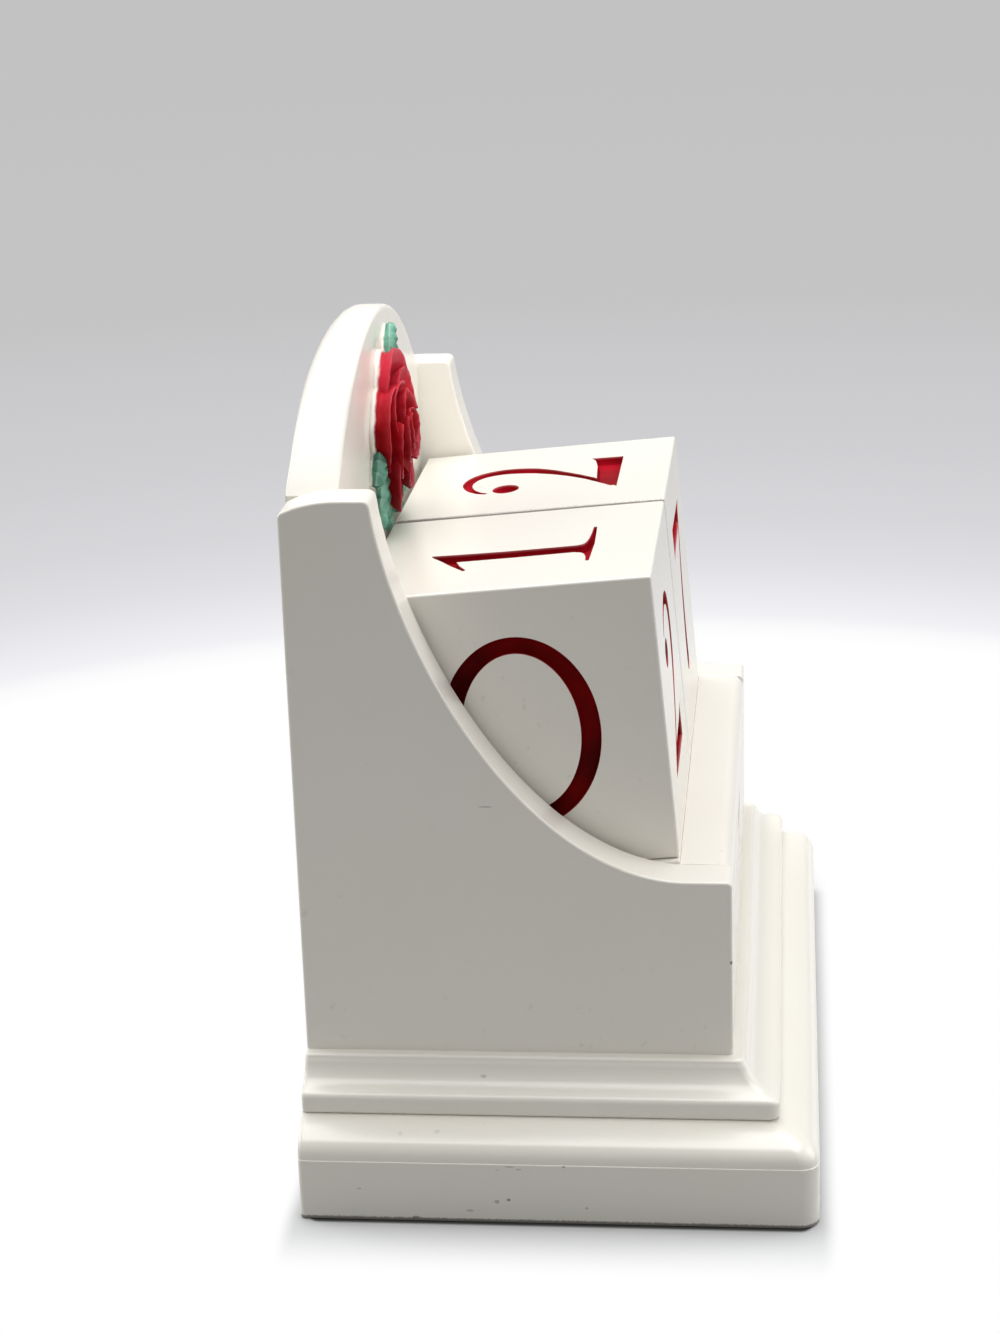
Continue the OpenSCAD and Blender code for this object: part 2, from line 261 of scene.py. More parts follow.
def shade(obj):
    """Smooth faces with creases where they turn sharply, and an edge mark for the paint."""
    with editing(obj.data) as bm:
        edge_mark = bm.verts.layers.float.new("edge")
        for face in bm.faces:
            face.smooth = True
        for edge in bm.edges:
            edge.smooth = len(edge.link_faces) != 2 or edge.calc_face_angle() < CREASE_OVER
        for vert in bm.verts:
            turn = max((e.calc_face_angle_signed(0) for e in vert.link_edges), default=0)
            vert[edge_mark] = min(1, max(0, turn / MARKED_TURN))
    weighted = obj.modifiers.new("even_normals", "WEIGHTED_NORMAL")
    weighted.keep_sharp = True
    weighted.weight = 90
    return obj


def dress(obj, material, body, node):
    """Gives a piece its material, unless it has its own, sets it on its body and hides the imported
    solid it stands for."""
    if material:
        obj.data.materials.clear()
        obj.data.materials.append(material)
    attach(obj, body)
    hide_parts(node)
    return obj


# ---------- materials ----------


class Finish:
    """A node material on Object coordinates, with short calls for the nodes it needs."""

    def __init__(self, name, **shader):
        self.material = bpy.data.materials.new(name)
        self.material.use_nodes = True
        self.nodes = self.material.node_tree.nodes
        self.links = self.material.node_tree.links
        self.shader = self.nodes["Principled BSDF"]
        self.fill(self.shader, shader)
        self.place = self.node("TexCoord").outputs["Object"]

    def link(self, value, socket):
        if isinstance(value, bpy.types.NodeSocket):
            self.links.new(value, socket)
        else:
            socket.default_value = value

    def fill(self, node, values):
        """Sets or links a node's inputs by name, with _ for a space."""
        for name, value in values.items():
            self.link(value, node.inputs[name.replace("_", " ")])

    def node(self, kind, **values):
        node = self.nodes.new("ShaderNode" + kind)
        self.fill(node, values)
        return node

    def math(self, operation, a, b, kind="Math"):
        node = self.node(kind)
        node.operation = operation
        self.link(a, node.inputs[0])
        self.link(b, node.inputs[1])
        return node.outputs["Value" if operation == "LENGTH" else 0]

    def vector(self, operation, a, b=(0, 0, 0)):
        return self.math(operation, a, b, "VectorMath")

    def axis(self, name):
        """One of the object coordinates: X, Y or Z."""
        return self.node("SeparateXYZ", Vector=self.place).outputs[name]

    def stretched(self, scale):
        """Object coordinates with their own scale along each axis."""
        return self.node("Mapping", Vector=self.place, Scale=scale).outputs[0]

    def noise(self, scale, detail=3.0, roughness=0.5, where=None, distortion=0.0):
        node = self.node("TexNoise", Scale=scale, Detail=detail, Roughness=roughness)
        self.fill(node, {"Vector": where or self.place, "Distortion": distortion})
        return node.outputs[0]

    def attribute(self, name):
        node = self.node("Attribute")
        node.attribute_name = name
        return node.outputs["Fac"]

    def ramp(self, value, low, high):
        """0 below low, 1 above high, smooth between; low may be the larger."""
        node = self.node("MapRange")
        node.interpolation_type = "SMOOTHSTEP"
        self.fill(node, {"Value": value, "From Min": min(low, high), "From Max": max(low, high)})
        self.fill(node, {"To Min": float(low > high), "To Max": float(low < high)})
        return node.outputs[0]

    def mix(self, factor, a, b):
        """Mixes two colours; the node's colours are its inputs 6 and 7 and its output 2."""
        node = self.node("Mix")
        node.data_type = "RGBA"
        self.link(factor, node.inputs["Factor"])
        self.link(a, node.inputs[6])
        self.link(b, node.inputs[7])
        return node.outputs[2]

    def tint(self, tone, colour, mask, strength):
        """A tone with a colour over it where the mask is 1, at a strength."""
        return self.mix(self.math("MULTIPLY", mask, strength), tone, colour)

    def blend(self, factor, a, b):
        """Mixes two surfaces."""
        node = self.node("MixShader")
        for value, socket in zip((factor, a, b), node.inputs):
            self.link(value, socket)
        return node.outputs[0]

    def colour(self, value):
        self.link(value, self.shader.inputs["Base Color"])

    def rough(self, mask, least, more):
        """Roughness from its least value, with more of it where the mask is 1."""
        value = self.math("ADD", self.math("MULTIPLY", mask, more), least)
        self.link(value, self.shader.inputs["Roughness"])

    def bump(self, height, depth):
        """Adds a bump of a depth in mm to those already there."""
        node = self.node("Bump", Distance=depth * MM, Height=height)
        normal = self.shader.inputs["Normal"]
        if normal.is_linked:
            self.links.new(normal.links[0].from_socket, node.inputs["Normal"])
        self.links.new(node.outputs[0], normal)

    def spot(self, centre, radii):
        """1 inside a small ragged ellipsoid, 0 outside; centre and radii in mm."""
        node = self.node("Mapping", Vector=self.place)
        node.vector_type = "TEXTURE"
        self.fill(node, {"Location": [c * MM for c in centre], "Scale": [r * MM for r in radii]})
        wave = self.math("MULTIPLY", self.noise(2400, 2), 0.5)
        return self.ramp(self.math("ADD", self.vector("LENGTH", node.outputs[0]), wave), 1.3, 0.9)


IVORY = (0.85, 0.82, 0.76, 1)
IVORY_BASE = (0.84, 0.822, 0.757, 1)
IVORY_THIN = (0.80, 0.76, 0.665, 1)
# Lighter tone for a painted highlight along convex edges
IVORY_EDGE_HIGHLIGHT = (0.89, 0.86, 0.79, 1)
BARE_SPOT = (0.30, 0.24, 0.17, 1)
# Dark colour of the paint's small flaws, also used for painted shade
SOOT_AND_PAINTED_SHADE = (0.09, 0.08, 0.065, 1)


def paint(name, marks_and_shade=(), ivory=IVORY):
    """Warm white satin-gloss enamel: mottled tone, soft brush marks, thin spots at the edges, a
    painted highlight along the edges, and dark marks given as (centre, radii, strength): small flaws,
    and painted shade where the list gives it."""
    finish = Finish(
        name, Roughness=0.25, Specular_IOR_Level=0.5, Coat_Weight=0.3, Coat_Roughness=0.22
    )
    mottle = finish.ramp(finish.noise(26), 0.15, 0.85)
    tone = finish.tint(ivory, IVORY_THIN, mottle, 0.4)
    edge = finish.attribute("edge")
    # Painted highlight: the paint is lighter along convex edges
    tone = finish.tint(tone, IVORY_EDGE_HIGHLIGHT, edge, 0.5)
    rub = finish.ramp(finish.noise(420, 3, 0.6), 0.66, 0.74)
    worn = finish.math("MULTIPLY", rub, finish.ramp(edge, 0.5, 0.95))
    tone = finish.tint(tone, BARE_SPOT, worn, 0.12)
    speck = finish.ramp(finish.noise(700, 2), 0.79, 0.84)
    tone = finish.tint(tone, BARE_SPOT, speck, 0.06)
    # Dark marks: small chips and scuffs, and painted shade where the list gives it, as at the base's
    # foot and between the cubes
    for centre, radii, strength in marks_and_shade:
        tone = finish.tint(tone, SOOT_AND_PAINTED_SHADE, finish.spot(centre, radii), strength)
    finish.colour(tone)
    finish.bump(finish.noise(90, 2, 0.4, finish.stretched((1, 1, 0.25))), 0.02)
    finish.bump(finish.noise(950, 2), 0.012)
    return finish.material


# ---------- painted boards ----------

EDGE_STEPS = 5
SWEEP_STEPS = 72
# Radii of the boards' softened edges
PANEL_EDGE = 0.5
ARCH_EDGE = 1.0
CROWN_REAR_EDGE = 5.0
JOINT_EDGE = 0.2
# Radii of the side panel's corners: behind the shoulder, at the head and on the ledge's front
SHOULDER_CORNER = 1.2
HEAD_CORNER = 1.3
LEDGE_CORNER = 1.0
# Points of the sweep that its rounded head takes up
HEAD_POINTS = 3
# Corner radii of the base boards, seen from above
LOWER_REAR_R = 0.9
UPPER_CORNER_R = 1.8
UPPER_REAR_R = 0.8


def soft_prism(name, loop, start, end, place, edge, floor=None):
    """A board cut to a loop (u, v), from start to end through its thickness w, its edges rounded
    by edge(u, v, side), side being 1 at the start and -1 at the end. Points under the floor are
    brought up to it, which keeps that side flat."""
    steps = inward(loop)
    angles = [math.pi / 2 * k / EDGE_STEPS for k in range(EDGE_STEPS + 1)]
    passes = [(start, 1, a) for a in angles] + [(end, -1, a) for a in reversed(angles)]
    rings = []
    for at, side, a in passes:
        ring = []
        for (u, v), step in zip(loop, steps):
            r = edge(u, v, side)
            moved = Vector((u, v)) + step * r * (1 - math.sin(a))
            height = moved.y if floor is None else max(floor, moved.y)
            ring.append(place(moved.x, height, at + side * r * (1 - math.cos(a))))
        rings.append(ring)
    return shade(add_object(name, *lofted(rings)))


def side_outline():
    """Side panel from its side: depth back from the case's front, height above the base."""
    height = LEDGE_Z - CASE_BASE
    top = PANEL_TOP - CASE_BASE
    head = (CASE_DEPTH - WING_DEPTH, top)
    lean_in = (math.cos(SWEEP_ANGLE), math.sin(SWEEP_ANGLE))
    below_head = (head[0] - SWEEP_HEAD * lean_in[0], head[1] - SWEEP_HEAD * lean_in[1])
    foot = (SWEEP_START, height)
    sweep = bezier(head, below_head, (SWEEP_START + SWEEP_FOOT, height), foot, SWEEP_STEPS)
    radius = (SHOULDER_DEPTH**2 + SHOULDER_DROP**2) / (2 * SHOULDER_DROP)
    swing = math.degrees(math.asin(SHOULDER_DEPTH / radius))
    shoulder_centre = (CASE_DEPTH - SHOULDER_DEPTH, top - radius)
    shoulder = arc(shoulder_centre, radius, 90 - swing, 90, 10)
    under = -1.2 * PANEL_EDGE
    points = [(0, under), (CASE_DEPTH, under), (*shoulder[0], SHOULDER_CORNER)]
    points += shoulder[1:] + [(*head, HEAD_CORNER)] + sweep[HEAD_POINTS:]
    return rounded(points + [(0, height, LEDGE_CORNER)])


def side_panel(node, start, end, material):
    def place(depth, height, x):
        return x, CASE_FRONT + depth, CASE_BASE + height

    outline = side_outline()
    board = soft_prism("painted_" + node, outline, start, end, place, lambda *at: PANEL_EDGE, 0)
    return dress(board, material, "case", node)


def arched_back(material):
    """Back panel: its arch is rounded over, most behind the crown; its joints with the side
    panels stay tight."""
    radius = (INNER_HALF**2 + ARCH_RISE**2) / (2 * ARCH_RISE)
    swing = math.degrees(math.asin(INNER_HALF / radius))
    arch = arc((0, CROWN - radius), radius, 90 - swing, 90 + swing, SWEEP_STEPS)
    under = CASE_BASE - ARCH_EDGE
    loop = [(-INNER_HALF, under), (INNER_HALF, under)] + arch
    spring = CROWN - ARCH_RISE

    def edge(x, z, side):
        rise = min(1, max(0, (z - spring) / ARCH_RISE))
        full = ARCH_EDGE
        if side < 0:
            full += (CROWN_REAR_EDGE - ARCH_EDGE) * rise**3
        return JOINT_EDGE + (full - JOINT_EDGE) * min(1, 4 * rise)

    def place(x, z, y):
        return x, y, z

    board = soft_prism("painted_back_panel", loop, BACK_FACE, CASE_BACK, place, edge, CASE_BASE)
    return dress(board, material, "case", "back_panel")


def moulded_board(node, section, corner_r, rear_r, cutters, material):
    """A base board whose section (outward, height, back) runs round its front and sides; back is
    how far the rear edge is drawn in at that height."""
    rings = []
    for out, z, back_in in section:
        half = CASE_HALF + out
        front = CASE_FRONT - out
        back = CASE_BACK - back_in
        loop = [
            (-half, front, corner_r),
            (half, front, corner_r),
            (half, back, rear_r),
            (-half, back, rear_r),
        ]
        rings.append([(x, y, z) for x, y in rounded(loop, 6)])
    board = add_object("painted_" + node, *lofted(rings))
    for cutter in cutters:
        cut(board, cutter)
    return dress(shade(applied(board)), material, "case", node)


def cut(obj, cutter):
    """Adds a cut that leaves the cutter's material on the cut faces."""
    boolean = obj.modifiers.new(cutter.name, "BOOLEAN")
    boolean.operation = "DIFFERENCE"
    boolean.solver = "EXACT"
    boolean.material_mode = "TRANSFER"
    boolean.object = cutter


def level(points):
    """Points (outward, height) of a section, its rear edge not drawn in."""
    return [(x, z, 0) for x, z in points]


def lower_section():
    """Lower board: slightly rounded foot, plain face, a small shoulder, then a nose and a slope."""
    foot = arc((LOWER_OVER - FOOT_R, FOOT_R), FOOT_R, -90, 0, 6)
    section = [(x, z, LOWER_OVER - x) for x, z in foot]
    section += level(arc((LOWER_OVER - LIP_R, FACE_H - LIP_R), LIP_R, 0, 80, 4))
    nose = (LOWER_OVER - NOSE_STEP - NOSE_R, FACE_H)
    to_top = (UPPER_OVER - nose[0], lower_high.z - nose[1])
    reach = math.hypot(*to_top)
    swing = math.degrees(math.atan2(to_top[1], to_top[0]) - math.acos(NOSE_R / reach))
    section += level(arc(nose, NOSE_R, 2, swing, 10))
    return section + level([(UPPER_OVER, lower_high.z), (0, lower_high.z)])


def upper_section():
    """Upper board: a plain band with soft edges, then a cove up to the case."""
    floor = upper_low.z
    under = (UPPER_OVER - BAND_UNDER_R, floor + BAND_UNDER_R)
    section = level(arc(under, BAND_UNDER_R, -90, 0, 5))
    centre = (UPPER_OVER - BAND_TOP_R, floor + BAND_H - BAND_TOP_R)
    section += level(arc(centre, BAND_TOP_R, 0, 80, 5))
    rise = upper_high.z - floor - BAND_H - COVE_R
    end = math.degrees(math.asin(rise / COVE_R))
    cove = arc((UPPER_OVER, floor + BAND_H + COVE_R), COVE_R, 258, 180 - end, 14)
    section += level(cove[:-2])
    steps = 6
    centre = (cove[-1][0] - COVE_TOP_R, upper_high.z - COVE_TOP_R)
    top_edge = arc(centre, COVE_TOP_R, 10, 90, steps)
    section += [(x, z, TOP_DRAWN_IN * k / steps) for k, (x, z) in enumerate(top_edge)]
    return section


FLAT_WITHIN = math.radians(0.5)
BEVEL_OVER = math.radians(30)


def softened(name, node, width, material, body):
    """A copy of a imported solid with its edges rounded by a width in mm."""
    mesh = frame["nodes"][node].data.copy()
    with editing(mesh) as bm:
        bmesh.ops.remove_doubles(bm, verts=bm.verts, dist=1e-6)
        bmesh.ops.dissolve_limit(bm, angle_limit=FLAT_WITHIN, verts=bm.verts, edges=bm.edges)
        bmesh.ops.recalc_face_normals(bm, faces=bm.faces)
    obj = linked(name, mesh)
    bevel = obj.modifiers.new("soft_edges", "BEVEL")
    bevel.width = width * MM
    bevel.segments = 3
    bevel.limit_method = "ANGLE"
    bevel.angle_limit = BEVEL_OVER
    return dress(shade(applied(obj)), material, body, node)


# ---------- numerals ----------

GROOVE_DEPTH = 1.5
OVER_FACE = 0.4
STROKE_STEPS = 6
# Half width from which a stroke is cut to its full depth
FULL_CUT = 1.4
# Walls of a flat recess: how far in, and height over the face
SLAB_WALL = (
    (0, OVER_FACE), (0, 0), (0.08, -0.45 * GROOVE_DEPTH), (0.22, -0.8 * GROOVE_DEPTH),
    (0.42, -GROOVE_DEPTH),
)


def smooth_path(points, closed):
    """Catmull-Rom curve through points (x, y, half width)."""
    count = len(points)
    spans = count if closed else count - 1
    path = []
    for i in range(spans):
        p = [
            points[(i + k) % count] if closed else points[min(count - 1, max(0, i + k))]
            for k in (-1, 0, 1, 2)
        ]
        for s in range(STROKE_STEPS):
            t = s / STROKE_STEPS
            mix = (
                -0.5 * t + t * t - 0.5 * t**3,
                1 - 2.5 * t * t + 1.5 * t**3,
                0.5 * t + 2 * t * t - 1.5 * t**3,
                -0.5 * t * t + 0.5 * t**3,
            )
            path.append(mixed(mix, p))
    if not closed:
        path.append(points[-1])
    return path


def stroke(points, closed=False):
    """Rings (x, y, depth) of a round-bottomed groove along a path of varying width."""
    path = smooth_path(points, closed)
    rings = []
    for k, (x, y, w) in enumerate(path):
        last = path[k - 1] if closed or k else path[0]
        after = path[(k + 1) % len(path)] if closed or k < len(path) - 1 else path[-1]
        along = Vector((after[0] - last[0], after[1] - last[1])).normalized()
        side = Vector((-along.y, along.x))
        depth = GROOVE_DEPTH * min(1, math.sqrt(w / FULL_CUT))
        ring = [(x + side.x * w, y + side.y * w, OVER_FACE)]
        for a in range(0, 181, 20):
            across = w * math.cos(math.radians(a))
            down = -depth * math.sin(math.radians(a))
            ring.append((x + side.x * across, y + side.y * across, down))
        ring.append((x - side.x * w, y - side.y * w, OVER_FACE))
        rings.append(ring)
    return rings, closed


def ring(x, y, rx, ry, thin, thick):
    """A closed oval groove, thin over its top and bottom and thick at its sides."""
    points = []
    for k in range(16):
        a = 2 * math.pi * k / 16
        w = thin + (thick - thin) * math.cos(a) ** 2
        points.append((x + rx * math.cos(a), y + ry * math.sin(a), w))
    return stroke(points, closed=True)


def slab(loop):
    """Rings of a flat recess with sloping walls, cut to a counter-clockwise loop."""
    steps = inward(loop)
    rings = [
        [(x + i * s.x, y + i * s.y, z) for (x, y), s in zip(loop, steps)] for i, z in SLAB_WALL
    ]
    return rings, False


def ball(x, y, rx, ry):
    """An oval recess, such as the ball that ends a stroke."""
    return slab([(x + rx * c, y + ry * s) for c, s in arc((0, 0), 1, 0, 345, 23)])


def serif_base():
    """Foot of the 2: a thick wedge whose right end turns up to a point."""
    upturn = bezier((11.9, -9.2), (11.2, -9.9), (10.0, -10.3), (8.4, -10.5), 6)
    return [(-12.4, -15.7), (11.6, -15.7)] + upturn + [(5.2, -10.9), (-6.0, -11.5), (-7.2, -12.2)]


def turned(loop, shift):
    """A loop turned half round, then moved across."""
    return [(shift - x, -y) for x, y in loop]


def foot_serif(left, right, stem_left, stem_right, y):
    """Thin foot under a stem, with small brackets where they meet."""
    thin = y + 0.6
    rise = y + 2.8
    up_right = bezier((right, thin), (stem_right + 1.6, thin + 0.2), (stem_right, thin + 0.7),
                      (stem_right, rise), 6)
    up_left = bezier((stem_left, rise), (stem_left, thin + 0.7), (stem_left - 1.6, thin + 0.2),
                     (left, thin), 6)
    return [(left, y), ((left + right) / 2, y - 0.3), (right, y)] + up_right + up_left


def numeral_one():
    stem = [
        (-6.0, -13.4), (-1.6, -13.4), (-1.7, -4.0), (-1.7, 2.0), (-1.3, 9.0), (-0.9, 14.9),
        (-2.2, 14.4), (-5.6, 12.2), (-6.2, 10.6), (-6.3, 0.0),
    ]
    flag = [(-12.5, 8.0), (-12.0, 7.5), (-9.0, 8.9), (-5.8, 9.9), (-5.2, 12.5), (-8.8, 10.4)]
    return [slab(stem), slab(flag), slab(foot_serif(-12.2, 10.2, -6.3, -1.5, -14.0))]


def numeral_four():
    stem = [(5.4, 15.8, 0.5), (5.2, 13.4, 1.7), (5.1, 6.0, 2.1), (5.1, -14.0, 2.1)]
    bar = [(-11.4, -7.6), (11.6, -7.6), (11.6, -5.8), (-11.4, -5.8)]
    diagonal = [(5.2, 14.8, 0.5), (-2.4, 4.1, 0.8), (-10.8, -6.6, 0.7)]
    foot = slab(foot_serif(-1.6, 11.8, 3.1, 7.1, -15.2))
    return [stroke(stem), slab(bar), stroke(diagonal), foot]


NUMERALS = {
    0: [ring(0.6, -0.5, 11.95, 15.7, 1.5, 1.75)],
    1: numeral_one(),
    2: [
        stroke([
            (-9.7, 9.6, 0.4), (-8.6, 11.3, 0.6), (-5.6, 13.2, 0.8), (-1.6, 14.1, 1.0),
            (2.6, 13.3, 1.3), (5.5, 11.0, 1.7), (6.9, 7.4, 2.0), (6.3, 3.1, 2.0),
            (4.3, -0.8, 1.6), (0.8, -5.1, 1.1), (-2.8, -8.7, 0.9), (-6.4, -11.6, 0.8),
            (-11.4, -15.0, 0.5),
        ]),
        ball(-7.3, 6.1, 3.2, 2.6),
        slab(serif_base()),
    ],
    3: [
        stroke([
            (-9.0, 9.8, 0.4), (-6.6, 13.6, 0.7), (-0.8, 15.1, 1.0), (5.0, 12.8, 1.7),
            (6.9, 8.2, 2.1), (4.6, 3.0, 1.4), (-1.2, 0.9, 0.7),
        ]),
        stroke([
            (-1.2, 0.9, 0.7), (5.4, -0.9, 1.4), (9.0, -6.6, 2.2), (6.4, -12.8, 1.7),
            (0, -15.2, 1.0), (-6.6, -13.4, 0.7), (-9.6, -8.8, 0.4),
        ]),
        ball(-6.5, 9.2, 2.7, 2.7),
        ball(-6.9, -8.4, 2.9, 2.9),
    ],
    4: numeral_four(),
    5: [
        slab([(-6.9, 11.4), (7.4, 11.6), (9.4, 15.9), (-6.9, 15.4)]),
        stroke([(-6.4, 14.8, 0.5), (-6.9, 8.0, 0.5), (-7.4, 1.2, 0.6)]),
        stroke([
            (-7.4, 1.2, 0.6), (-3.2, 4.1, 0.9), (2.8, 4.4, 1.4), (8.0, 0.6, 2.0),
            (9.2, -5.4, 2.2), (6.4, -11.9, 1.8), (0.2, -15.2, 1.0), (-6.2, -13.6, 0.7),
            (-9.2, -9.0, 0.4),
        ]),
        ball(-6.4, -8.5, 2.8, 2.8),
    ],
    6: [
        ring(0.4, -5.9, 8.5, 8.9, 1.0, 2.1),
        stroke([
            (9.4, 10.8, 0.4), (7.0, 14.2, 0.7), (2.0, 15.1, 1.0), (-4.2, 11.8, 1.6),
            (-7.4, 4.0, 2.1), (-8.1, -5.9, 2.1),
        ]),
        ball(7.0, 10.2, 2.7, 2.7),
    ],
    7: [
        slab(turned(serif_base(), -0.4)),
        stroke([
            (9.3, 14.7, 0.5), (5.0, 8.0, 1.0), (0.6, 0.4, 1.6), (-1.8, -7.2, 2.1),
            (-2.4, -12.6, 2.4),
        ]),
        ball(-2.4, -12.8, 2.4, 2.6),
    ],
    8: [
        ring(0, 7.7, 6.6, 6.9, 1.0, 2.0),
        ring(0, -7.5, 8.4, 7.6, 1.0, 2.2),
    ],
}

# Faces of a cube: the way out of it and the way up its numeral
CUBE_FACES = {
    "front": ((0, -1, 0), (0, 0, 1)),
    "back": ((0, 1, 0), (0, 0, 1)),
    "left": ((-1, 0, 0), (0, 0, 1)),
    "right": ((1, 0, 0), (0, 0, 1)),
    "top": ((0, 0, 1), (0, 1, 0)),
    "bottom": ((0, 0, -1), (0, -1, 0)),
}


def date_cube(side, low_x, shown, paint_material, red, shaded_red):
    """A cube with softened edges and a numeral cut into each face, leaning back on its seat. The
    numerals on its left take a darker copy of the red, a painted shade."""
    name = side + "_numbered_cube"
    mesh = bpy.data.meshes.new(name)
    with editing(mesh) as bm:
        bmesh.ops.create_cube(bm, size=CUBE * MM)
        soft = {"offset": CUBE_EDGE * MM, "segments": 5, "profile": 0.5, "affect": "EDGES"}
        bmesh.ops.bevel(bm, geom=bm.edges, **soft)
    obj = linked(name, mesh)
    mesh.materials.append(paint_material)
    cutters = []
    for face, number in shown.items():
        out, up = (Vector(v) for v in CUBE_FACES[face])
        right = up.cross(out)
        for k, (rings, closed) in enumerate(NUMERALS[number]):
            placed = [
                [tuple(out * (CUBE / 2 + z) + right * x + up * y) for x, y, z in ring_points]
                for ring_points in rings
            ]
            cutter = add_object(f"cut_{name}_{face}_{k}", *lofted(placed, closed))
            cutter.data.materials.append(shaded_red if face == "left" else red)
            cutters.append(cutter)
            cut(obj, cutter)
    applied(obj)
    for cutter in cutters:
        bpy.data.objects.remove(cutter)
    mark_rims(obj)
    centre = Vector((CUBE / 2, CUBE / 2, CUBE / 2 + SEAT_GAP)) * MM
    seat_front = Vector((low_x, CASE_FRONT + LEDGE_DEPTH, seat_high.z)) * MM
    lean_back = Matrix.Rotation(-LEAN, 4, "X")
    obj.data.transform(Matrix.Translation(seat_front) @ lean_back @ Matrix.Translation(centre))
    dress(shade(obj), None, side + "_cube", side + "_date_cube")


def mark_rims(obj):
    """Marks the rim of the cut numerals: the points that belong to both materials."""
    mesh = obj.data
    owners = [set(), set()]
    for face in mesh.polygons:
        owners[min(1, face.material_index)].update(face.vertices)
    layer = mesh.attributes.new("rim", "FLOAT", "POINT")
    for k in owners[0] & owners[1]:
        layer.data[k].value = 1


def numeral_red(name, pooled, thin):
    """Deep-red enamel in the grooves, thin and pinkish where it meets the face."""
    finish = Finish(name, Roughness=0.45, Specular_IOR_Level=0.04)
    uneven = finish.ramp(finish.noise(70, 3, 0.55), 0.3, 0.7)
    tone = finish.mix(uneven, pooled, thin)
    rim = finish.ramp(finish.attribute("rim"), 0.25, 1)
    finish.colour(finish.tint(tone, (0.78, 0.27, 0.28, 1), rim, 0.55))
    finish.bump(finish.noise(700, 3, 0.6), 0.03)
    return finish.material


# ---------- drawer wood ----------


def bare_wood(name, along):
    """Pale sanded wood, its grain along one axis."""
    squeeze = [1.0, 1.0, 1.0]
    squeeze["xyz".index(along)] = 0.06
    finish = Finish(name)
    grain = finish.noise(420, 5, 0.6, finish.stretched(squeeze), 0.4)
    growth = finish.noise(70, 2, 0.4, finish.stretched(squeeze), 1.2)
    pale = (0.66, 0.49, 0.31, 1)
    dark = (0.47, 0.31, 0.17, 1)
    tone = finish.mix(finish.ramp(growth, 0.35, 0.65), pale, (0.60, 0.43, 0.26, 1))
    finish.colour(finish.tint(tone, dark, finish.ramp(grain, 0.52, 0.74), 0.55))
    finish.rough(grain, 0.48, 0.15)
    finish.bump(grain, 0.06)
    return finish.material


# ---------- screws ----------


def screw_places():
    middle = (CASE_HALF + INNER_HALF) / 2
    return [
        (side * middle, CASE_FRONT + depth)
        for side in (-1, 1)
        for depth in (SCREW_INSET, CASE_DEPTH - SCREW_INSET)
    ]


def revolved(name, profile, sides=32):
    """A solid turned about the Z axis from a profile (radius, height) that starts and ends on it."""
    rings = [
        [(r * math.cos(2 * math.pi * k / sides), r * math.sin(2 * math.pi * k / sides), z)
         for k in range(sides)]
        for r, z in profile
    ]
    return add_object(name, *lofted(rings))


def copies_at(obj, name, places, material):
    """A tree that sets a copy of the object's own mesh at each place, then the finish."""
    dots = bpy.data.meshes.new(name + "_places")
    dots.from_pydata([(x * MM, y * MM, 0) for x, y in places], [], [])
    holder = linked(name, dots)
    tree = bpy.data.node_groups.new(name + "_tree", "GeometryNodeTree")
    new_socket = tree.interface.new_socket
    new_socket("Places", in_out="INPUT", socket_type="NodeSocketGeometry")
    copy_in = new_socket("Copy", in_out="INPUT", socket_type="NodeSocketObject")
    lift_in = new_socket("Lift", in_out="INPUT", socket_type="NodeSocketFloat")
    new_socket("Pieces", in_out="OUTPUT", socket_type="NodeSocketGeometry")
    add = tree.nodes.new
    start = add("NodeGroupInput")
    source = add("GeometryNodeObjectInfo")
    spread = add("GeometryNodeInstanceOnPoints")
    lift = add("ShaderNodeCombineXYZ")
    raise_up = add("GeometryNodeTransform")
    realize = add("GeometryNodeRealizeInstances")
    finish = add("GeometryNodeSetMaterial")
    end = add("NodeGroupOutput")
    finish.inputs["Material"].default_value = material
    for giver, given, taker, taken in (
        (start, "Places", spread, "Points"),
        (start, "Copy", source, "Object"),
        (source, "Geometry", spread, "Instance"),
        (spread, 0, raise_up, "Geometry"),
        (start, "Lift", lift, "Z"),
        (lift, 0, raise_up, "Translation"),
        (raise_up, 0, realize, 0),
        (realize, 0, finish, "Geometry"),
        (finish, 0, end, 0),
    ):
        tree.links.new(giver.outputs[given], taker.inputs[taken])
    modifier = holder.modifiers.new("copies", "NODES")
    modifier.node_group = tree
    modifier[copy_in.identifier] = obj
    modifier[lift_in.identifier] = SCREW_CLEAR * MM
    applied(holder)
    bpy.data.objects.remove(obj)
    return holder


SHANK_H = 14.0
THREAD_FROM = 14.6
THREAD_PITCH = 1.6
THREAD_DEPTH = 0.35
POINT_H = 4.0


def base_screws(material):
    """Countersunk wood screws with a cross recess and a turned thread."""
    shank = SCREW_D / 2
    core = shank - THREAD_DEPTH
    head = SCREW_HEAD_D / 2
    profile = [(0, 0), (head - 0.1, 0), (head, 0.12), (shank, head - shank), (shank, SHANK_H)]
    z = THREAD_FROM
    while z < SCREW_LEN - POINT_H:
        profile += [(core, z), (core, z + 0.45 * THREAD_PITCH), (shank, z + 0.75 * THREAD_PITCH)]
        z += THREAD_PITCH
    profile += [(core, SCREW_LEN - 0.8 * POINT_H), (0, SCREW_LEN)]
    screw = revolved("screw_pattern", profile, 24)
    blades = []
    for turn in (0, 90):
        blade = add_object(f"recess_{turn}", *lofted([
            [(-x, -y, z), (x, -y, z), (x, y, z), (-x, y, z)]
            for x, y, z in ((2.1, 0.45, -0.2), (0.8, 0.3, 2.0))
        ]))
        blade.data.transform(Matrix.Rotation(math.radians(turn + 20), 4, "Z"))
        cut(screw, blade)
        blades.append(blade)
    applied(screw)
    for blade in blades:
        bpy.data.objects.remove(blade)
    screws = shade(copies_at(screw, "zinc_base_screws", screw_places(), material))
    return dress(screws, material, "case", "base_screws")


